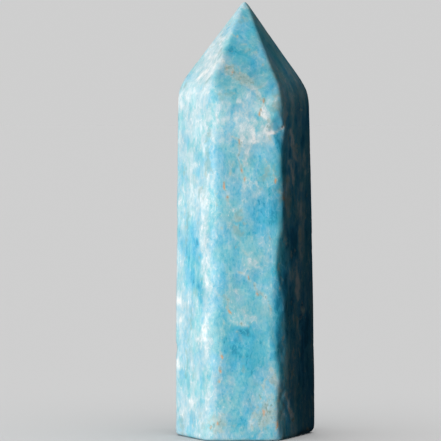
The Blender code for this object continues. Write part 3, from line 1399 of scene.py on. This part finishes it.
@dataclass(frozen=True)
class ApatiteFinish:
    """Polished blue apatite: layered clouds, pale seams and rusty flecks under a satin polish.

    Attributes:
        ink: the darkest blue, deep in the clearest blocks.
        deep: the strong blue.
        sky: the common blue.
        milk: the pale blue of the clouds.
        chalk: the warm white of the densest clouds.
        moss: the grey green of the stains.
        tan: the grey brown of the seams.
        rust: the orange of the flecks.
        soot: the dark olive of the grit beside them.
        right_side_painted_shade: painted shade on the right side, deepest where the stone is clearest;
            partly the clear stone's own deeper blue.
        shadow: painted shade that darkens the far right still more.
        green: the tint where the stone is greener.
        whitest: the paleness at which the stone is all chalk.
        polish: the roughness of the polished faces.
        gloss: how strongly they mirror the lights.
        glow: how much of the light goes into the stone and comes out again.
        glow_depth: how far that light goes.
        glow_reach: the share of that distance that red, green and blue light go.
        ridge_top: the height from which the ridge on the left runs down.
        ridge_slope: how far that ridge runs to the left for each step down.
        ridge_reach: how far to the left the long edge below it stands.
    """

    ink: Colour = (0.018, 0.250, 0.400)
    deep: Colour = (0.053, 0.384, 0.558)
    sky: Colour = (0.194, 0.474, 0.595)
    milk: Colour = (0.400, 0.564, 0.612)
    chalk: Colour = (0.710, 0.735, 0.730)
    moss: Colour = (0.200, 0.360, 0.350)
    tan: Colour = (0.340, 0.455, 0.435)
    rust: Colour = (0.570, 0.340, 0.215)
    soot: Colour = (0.130, 0.250, 0.220)
    # painted shade on the right side, partly the clear stone's own deeper blue, and more painted shade at
    # the far right
    right_side_painted_shade: Colour = (0.580, 0.840, 1.000)
    shadow: Colour = (0.420, 0.580, 0.620)
    green: Colour = (0.920, 1.020, 0.930)
    whitest: float = 1.2
    polish: float = 0.50
    gloss: float = 0.32
    glow: float = 0.3
    glow_depth: float = 1.8 * MM
    glow_reach: Colour = (0.5, 0.9, 1.0)
    ridge_top: float = 87.6 * MM
    ridge_slope: float = 0.37
    ridge_reach: float = 7.2 * MM

    def make(self) -> bpy.types.Material:
        """Build the material.

        Returns:
            The stone's material.
        """
        material = bpy.data.materials.new("polished_apatite")
        material.use_nodes = True
        material.node_tree.nodes.clear()
        board = Board(material.node_tree)
        spot = self._spot(board)
        sockets = {
            "Base Color": self._colour(board, spot),
            "Roughness": self._roughness(board, spot),
            "Normal": self._relief(board, spot),
            "IOR": 1.5,
            "Specular IOR Level": self.gloss,
            "Subsurface Weight": self.glow,
            "Subsurface Scale": self.glow_depth,
            "Subsurface Radius": self.glow_reach,
        }
        shell = board.term("ShaderNodeBsdfPrincipled", sockets=sockets)
        board.add("ShaderNodeOutputMaterial", sockets={"Surface": shell})
        return material

    def _spot(self, board: Board) -> Spot:
        """Read what the mixes below need to know of a place.

        Args:
            board: the material's board.

        Returns:
            The spot.
        """
        place = board.term("ShaderNodeTexCoord", output="Object")
        swirl = board.noise(place, 3.0 * MM, detail=2.0, shift=11.0, output="Color") - NOISE_MIDDLE
        bent = place + swirl * (1.4 * MM)
        layered = bent * (1.0, 2.2, 0.55)
        across, _, height = board.split(place)
        ridge = board.reckon("MINIMUM", (self.ridge_top - height) * self.ridge_slope, self.ridge_reach)
        return Spot(
            place=place,
            bent=bent,
            layered=layered,
            across=across,
            height=height,
            left=board.step(across + ridge, 0.5 * MM, -0.9 * MM),
            right=board.step(across, 6.5 * MM, 9.0 * MM),
            grain=board.noise(place * (1.0, 1.0, 0.5), 0.45 * MM, detail=3.0, roughness=0.65, shift=3.0),
            blocks=self._blocks(board, layered, 4.6 * MM),
        )

    def _colour(self, board: Board, spot: Spot) -> Term:
        """Return the stone's colour: the clean stone with its stains over it."""
        return self._stained(board, spot, self._shaded(board, spot, self._paleness(board, spot)))

    def _shaded(self, board: Board, spot: Spot, pale: Term) -> Term:
        """Colour the clean stone by its paleness, and shade it: random tone, painted shade on the point and
        on the right side, and a painted floor bounce at the foot of the right side.

        Args:
            board: the material's board.
            spot: the place on the stone.
            pale: the paleness there.

        Returns:
            The colour of the clean stone, with the painted shade and the painted bounce in it.
        """
        stops = [(0.0, self.ink), (0.11, self.deep), (0.35, self.sky), (0.63, self.milk), (1.0, self.chalk)]
        colour = board.term("ShaderNodeValToRGB", {"stops": stops}, {"Fac": pale / self.whitest}, "Color")
        shade = board.noise(spot.bent * (1.0, 1.4, 0.6), 3.4 * MM, detail=5.0, roughness=0.65, shift=15.0)
        hue = board.noise(spot.bent * (1.0, 1.4, 0.8), 5.0 * MM, detail=4.0, roughness=0.6, shift=16.0)
        # painted shade: the front facets of the point, which face upwards, are darkened
        point_shade_bottom = board.step(spot.height, 66.0 * MM, 72.0 * MM)
        point_shade_top = board.step(spot.height, 82.5 * MM, 77.5 * MM)
        painted_point_shade = point_shade_bottom * point_shade_top * (1.0 - spot.left) * (1.0 - spot.right)
        # painted light: the foot of the right side is brightened, as if lit by light thrown back from the
        # floor
        bounce_near_floor = board.step(spot.height, 10.0 * MM, 3.0 * MM)
        painted_floor_bounce = bounce_near_floor * board.step(spot.across, 11.5 * MM, 8.0 * MM) * spot.right
        colour = colour * (0.71 + 0.58 * shade - 0.07 * painted_point_shade + 0.65 * painted_floor_bounce)
        # painted shade: the right side is darkened, more where the stone is clearer; partly the clear
        # stone's own deeper blue
        clear = spot.right * board.step(pale, 0.90, 0.10, 0.25, 1.0)
        colour = board.blend(clear, colour, self.right_side_painted_shade, "MULTIPLY")
        # painted shade: the far right is darkened further, by its place alone
        clearest = board.step(spot.across, 7.5 * MM, 13.5 * MM)
        colour = board.blend(clearest, colour, self.shadow, "MULTIPLY")
        greenish = board.step(hue, 0.42, 0.58) * board.step(pale, 0.90, 0.45)
        return board.blend(greenish, colour, self.green, "MULTIPLY")

    def _stained(self, board: Board, spot: Spot, colour: Term) -> Term:
        """Lay the stains, the seams, the grit and the flecks over the clean stone.

        Args:
            board: the material's board.
            spot: the place on the stone.
            colour: the colour of the clean stone there.

        Returns:
            The base colour.
        """
        rust = board.layer(RUST)
        stain = board.noise(spot.bent * (1.0, 1.8, 0.6), 3.6 * MM, detail=3.0, shift=6.0)
        crumbs = board.noise(spot.place * (1.0, 1.0, 0.6), 0.60 * MM, detail=3.0, roughness=0.6, shift=7.0)
        grit = board.noise(spot.place * (1.0, 1.0, 0.7), 0.55 * MM, detail=2.0, roughness=0.6, shift=12.0)
        flakes = board.noise(spot.bent, 1.1 * MM, detail=3.0, roughness=0.6, shift=8.0)
        stained = board.step(stain + (flakes - 0.5) * 0.5, 0.60, 0.72)
        colour = board.blend(stained * 0.5, colour, self.moss)
        seamed = board.step(rust + (flakes - 0.5) * 1.7 + (crumbs - 0.5) * 1.1, 0.28, 0.74)
        brown = board.reckon("MAXIMUM", seamed * 0.75, stained * spot.blocks.seam * flakes)
        colour = board.blend(brown, colour, (0.35 + 1.3 * crumbs) * self.tan)
        dirty = board.step(rust * 0.7 + (grit - 0.5) * 1.5, 0.46, 0.72)
        colour = board.blend(dirty * 0.6, colour, self.soot)
        specks = board.step(rust + (crumbs - 0.5) * 1.3, 0.74, 0.98)
        scattered = board.step(crumbs, 0.66, 0.72) * board.step(stain, 0.54, 0.66)
        orange = board.reckon("MAXIMUM", specks * 0.9, scattered * 0.6) * (1.0 - 0.6 * spot.right)
        return board.blend(orange, colour, self.rust)

    def _paleness(self, board: Board, spot: Spot) -> Term:
        """Say how milky the stone is.

        Args:
            board: the material's board.
            spot: the place on the stone.

        Returns:
            The paleness, mostly between 0 and 1.
        """
        left, right, blocks = spot.left, spot.right, spot.blocks
        clouds = board.noise(spot.layered, 5.0 * MM, detail=3.0, roughness=0.6, shift=1.0)
        mottle = board.noise(spot.bent * (1.0, 1.2, 0.7), 1.5 * MM, detail=4.0, roughness=0.7, shift=2.0)
        streaks = board.noise(spot.bent * (1.0, 1.7, 0.20), 2.8 * MM, detail=2.0, shift=4.0)
        threads = board.noise(spot.bent * (1.0, 1.0, 0.6), 2.4 * MM, detail=2.0, shift=5.0)
        cracks = board.noise(spot.place * (1.0, 1.0, 0.7), 3.2 * MM, detail=2.0, shift=9.0)
        small = self._blocks(board, spot.layered, 1.5 * MM)
        high = board.step(spot.height, 64.0 * MM, 74.0 * MM)
        cloud = board.layer(CLOUD)
        veil = board.step(mottle, 0.35, 0.65)
        thread = board.step(board.reckon("ABSOLUTE", threads - 0.5), 0.022, 0.0)
        crack = board.step(board.reckon("ABSOLUTE", cracks - 0.52), 0.014, 0.0)
        specks = board.step(spot.grain, 0.62, 0.72)
        pits = board.step(spot.grain, 0.40, 0.32)
        lift = board.reckon("MAXIMUM", cloud, 0.0)
        sink = board.reckon("MINIMUM", cloud, 0.0)
        calm = board.reckon("MAXIMUM", 1.0 + (1.4 - left) * sink, 0.35)
        smooth = board.step(spot.height, 54.0 * MM, 62.0 * MM, 1.0, 0.62)
        return (
            0.40
            # the left side is paler: partly the stone's own milk, partly a painted sheen
            + left * 0.05
            + (clouds - 0.5) * (0.22 + 0.14 * left - 0.16 * left * high + 0.30 * right)
            + (mottle - 0.5) * (0.66 - 0.30 * left) * (1.0 - 0.6 * left * high) * calm
            + (streaks - 0.5) * (0.35 + 0.22 * left + 1.20 * right) * (1.0 - 0.7 * high)
            + (spot.grain - 0.5) * (0.82 - 0.22 * left) * smooth * calm
            + (blocks.tone - 0.5) * 0.14
            + (small.tone - 0.5) * 0.12
            + (blocks.seam * 0.10 + small.seam * 0.08) * veil
            + thread * veil * 0.22 * (1.0 - 0.6 * left * high)
            - crack * (1.0 - veil) * 0.12
            + specks * veil * 0.32 * smooth
            - pits * (1.0 - veil) * 0.09 * calm
            + board.layer(WEAR) * 0.04
            + lift * (0.26 + veil * 0.76 + left * 0.30 + right)
            + sink * (0.60 + veil * 0.12 + left * 0.35 + right * 0.30)
        )

    @staticmethod
    def _blocks(board: Board, place: Term, size: float) -> Blocks:
        """Break the stone into slanting blocks.

        Args:
            board: the material's board.
            place: the place on the stone.
            size: the size of one block.

        Returns:
            The blocks' tones and seams.
        """
        sockets = {"Vector": place, "Scale": 1.0 / size}
        near = board.add("ShaderNodeTexVoronoi", {"feature": "F1", "distance": "MANHATTAN"}, sockets)
        settings = {"feature": "F2", "distance": "MANHATTAN"}
        next_one = board.term("ShaderNodeTexVoronoi", settings, sockets, "Distance")
        tone = board.split(Term(board, near.outputs["Color"]))[0]
        gap = next_one - Term(board, near.outputs["Distance"])
        return Blocks(tone, board.step(gap, 0.16, 0.0))

    def _roughness(self, board: Board, spot: Spot) -> Term:
        """Return the roughness: a satin polish with duller drifts."""
        drift = board.noise(spot.place, 6.0 * MM, detail=3.0, shift=20.0)
        return self.polish + (drift - 0.5) * 0.20 + (spot.grain - 0.5) * 0.12

    @staticmethod
    def _relief(board: Board, spot: Spot) -> Term:
        """Lay a fine relief over the surface, as polishing leaves it.

        Args:
            board: the material's board.
            spot: the place on the stone.

        Returns:
            The normal.
        """
        dimples = board.noise(spot.place, 1.1 * MM, detail=2.0, shift=30.0)
        height = spot.grain * 0.35 + dimples
        sockets = {"Strength": 0.25, "Distance": 0.06 * MM, "Height": height}
        return board.term("ShaderNodeBump", sockets=sockets)


# ---------------------------------------------------------------- the studio


@dataclass(frozen=True)
class SoftLight:
    """One soft square light.

    Attributes:
        name: what the light does.
        turn: its direction from the stone, in degrees from the front towards the right.
        rise: its direction above the floor, in degrees.
        distance: its distance from the stone's middle.
        wide: its width.
        tall: its height.
        power: its power in watts.
    """

    name: str
    turn: float
    rise: float
    distance: float
    wide: float
    tall: float
    power: float

    def place(self, aim: Vector, lit: bpy.types.Object) -> None:
        """Put the light in the scene.

        Args:
            aim: the place that it is aimed at.
            lit: the one thing that it falls on.
        """
        turn = math.radians(self.turn)
        rise = math.radians(self.rise)
        away = Vector((math.cos(rise) * math.sin(turn), -math.cos(rise) * math.cos(turn), math.sin(rise)))
        lamp = bpy.data.lights.new(self.name, "AREA")
        lamp.shape = "RECTANGLE"
        lamp.size = self.wide
        lamp.size_y = self.tall
        lamp.energy = self.power
        light = bpy.data.objects.new(self.name, lamp)
        light.location = aim + away * self.distance
        light.rotation_euler = away.to_track_quat("Z", "Y").to_euler()
        light.visible_camera = False
        bpy.context.scene.collection.objects.link(light)
        link_light(light, lit, lit)


def link_light(light: bpy.types.Object, lit: bpy.types.Object, blocking: bpy.types.Object) -> None:
    """Let a light fall on one thing alone, past everything but one.

    Args:
        light: the light.
        lit: the thing that it falls on.
        blocking: the thing that throws a shadow in it.
    """
    for name, chosen in (("receiver_collection", lit), ("blocker_collection", blocking)):
        group = bpy.data.collections.new(f"{light.name}_{name}")
        group.objects.link(chosen)
        setattr(light.light_linking, name, group)


@dataclass
class Studio:
    """The pale floor, the lights and the camera.

    Attributes:
        floor_radius: how far the floor runs.
        paper: how much light the floor gives back.
        floor_light: the strength of the even light that falls on the floor alone.
        floor_light_spread: how wide that light spreads, in degrees.
        room: the brightness of the room's even light.
        haze: the brightness of the pale background.
        camera_distance: how far in front of the stone's axis the camera stands.
        camera_height: the height of the lens.
        camera_tilt: how far it looks down, in degrees.
        camera_pan: how far it looks to the left, in degrees.
        lens: the focal length, in millimetres on a 36 mm wide picture.
    """

    floor_radius: float = 12.0
    paper: float = 0.62
    floor_light: float = 3.1
    floor_light_spread: float = 100.0
    room: float = 0.015
    haze: float = 0.620
    camera_distance: float = 545.7 * MM
    camera_height: float = 65.5 * MM
    camera_tilt: float = 2.32
    camera_pan: float = 0.535
    lens: float = 220.4
    lights: tuple[SoftLight, ...] = (
        SoftLight("key_from_the_left", turn=-34.0, rise=0.0, distance=2.5, wide=0.9, tall=0.9, power=86.0),
        SoftLight("sheen_on_the_left", turn=-117.0, rise=8.0, distance=1.0, wide=0.8, tall=0.9, power=3.4),
        SoftLight("glow_on_the_tip", turn=78.0, rise=60.0, distance=0.2, wide=0.1, tall=0.1, power=0.055),
        SoftLight("fill_from_behind", turn=200.0, rise=45.0, distance=1.5, wide=0.5, tall=0.5, power=9.5),
    )

    def build(self, skin: bpy.types.Object) -> None:
        """Make the floor, the lights and the camera.

        Args:
            skin: the stone's skin.
        """
        low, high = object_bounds()
        aim = (Vector(low) + Vector(high)) / 2
        floor = self._floor()
        self._light_floor(floor, skin)
        self._room()
        for light in self.lights:
            light.place(aim, skin)
        self._camera()

    def _floor(self) -> bpy.types.Object:
        """Make the floor.

        Returns:
            The floor, which doesn't throw light back on the stone.
        """
        bpy.ops.mesh.primitive_circle_add(vertices=96, radius=self.floor_radius, fill_type="NGON")
        floor = bpy.context.object
        floor.name = "studio_floor"
        floor.visible_diffuse = False
        floor.visible_glossy = False
        paper = bpy.data.materials.new("pale_paper")
        paper.use_nodes = True
        shell = paper.node_tree.nodes["Principled BSDF"]
        shell.inputs["Base Color"].default_value = (self.paper, self.paper, self.paper, 1.0)
        shell.inputs["Roughness"].default_value = 0.9
        shell.inputs["Specular IOR Level"].default_value = 0.0
        floor.data.materials.append(paper)
        floor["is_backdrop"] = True
        return floor

    def _light_floor(self, floor: bpy.types.Object, skin: bpy.types.Object) -> None:
        """Light the floor evenly from above.

        Args:
            floor: the one thing that this light falls on.
            skin: the stone's skin, which throws a soft shadow.
        """
        lamp = bpy.data.lights.new("floor_light", "SUN")
        lamp.energy = self.floor_light
        lamp.angle = math.radians(self.floor_light_spread)
        light = bpy.data.objects.new("floor_light", lamp)
        bpy.context.scene.collection.objects.link(light)
        link_light(light, floor, skin)

    def _room(self) -> None:
        """Give the room dim even light and a pale background."""
        world = bpy.data.worlds.new("room")
        world.use_nodes = True
        world.node_tree.nodes.clear()
        board = Board(world.node_tree)
        dim = board.term("ShaderNodeBackground", sockets={"Color": (self.room,) * 3 + (1.0,)})
        pale = board.term("ShaderNodeBackground", sockets={"Color": (self.haze,) * 3 + (1.0,)})
        seen = board.term("ShaderNodeLightPath", output="Is Camera Ray")
        room = board.term("ShaderNodeMixShader", sockets={0: seen, 1: dim, 2: pale})
        board.add("ShaderNodeOutputWorld", sockets={"Surface": room})
        bpy.context.scene.world = world

    def _camera(self) -> None:
        """Stand the camera in front of the stone."""
        data = bpy.data.cameras.new("camera")
        data.lens = self.lens
        data.sensor_width = 36.0
        data.clip_start = 0.01
        camera = bpy.data.objects.new("camera", data)
        camera.location = (0.0, -self.camera_distance, self.camera_height)
        camera.rotation_euler = (math.radians(90.0 - self.camera_tilt), 0.0, math.radians(self.camera_pan))
        bpy.context.scene.collection.objects.link(camera)
        bpy.context.scene.camera = camera


# ---------------------------------------------------------------- the whole


def main() -> None:
    """Build the stone and its studio, and report each piece."""
    logging.basicConfig(level=logging.INFO, format="%(name)s: %(message)s")
    bpy.context.scene.view_settings.view_transform = "Standard"
    facets = Facets.of(frame["nodes"][STONE])
    log.info("%d facets, tip at %.2f mm", len(facets.all), facets.tip.z / MM)
    skin = StoneShape().build(facets, ApatiteFinish().make())
    Markings().draw(skin)
    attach(skin, "root" if "root" in frame["bodies"] else next(iter(frame["bodies"])))
    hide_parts(STONE)
    log.info("%s: %d faces", skin.name, len(skin.data.polygons))
    Studio().build(skin)


if __name__ == "__main__":
    main()
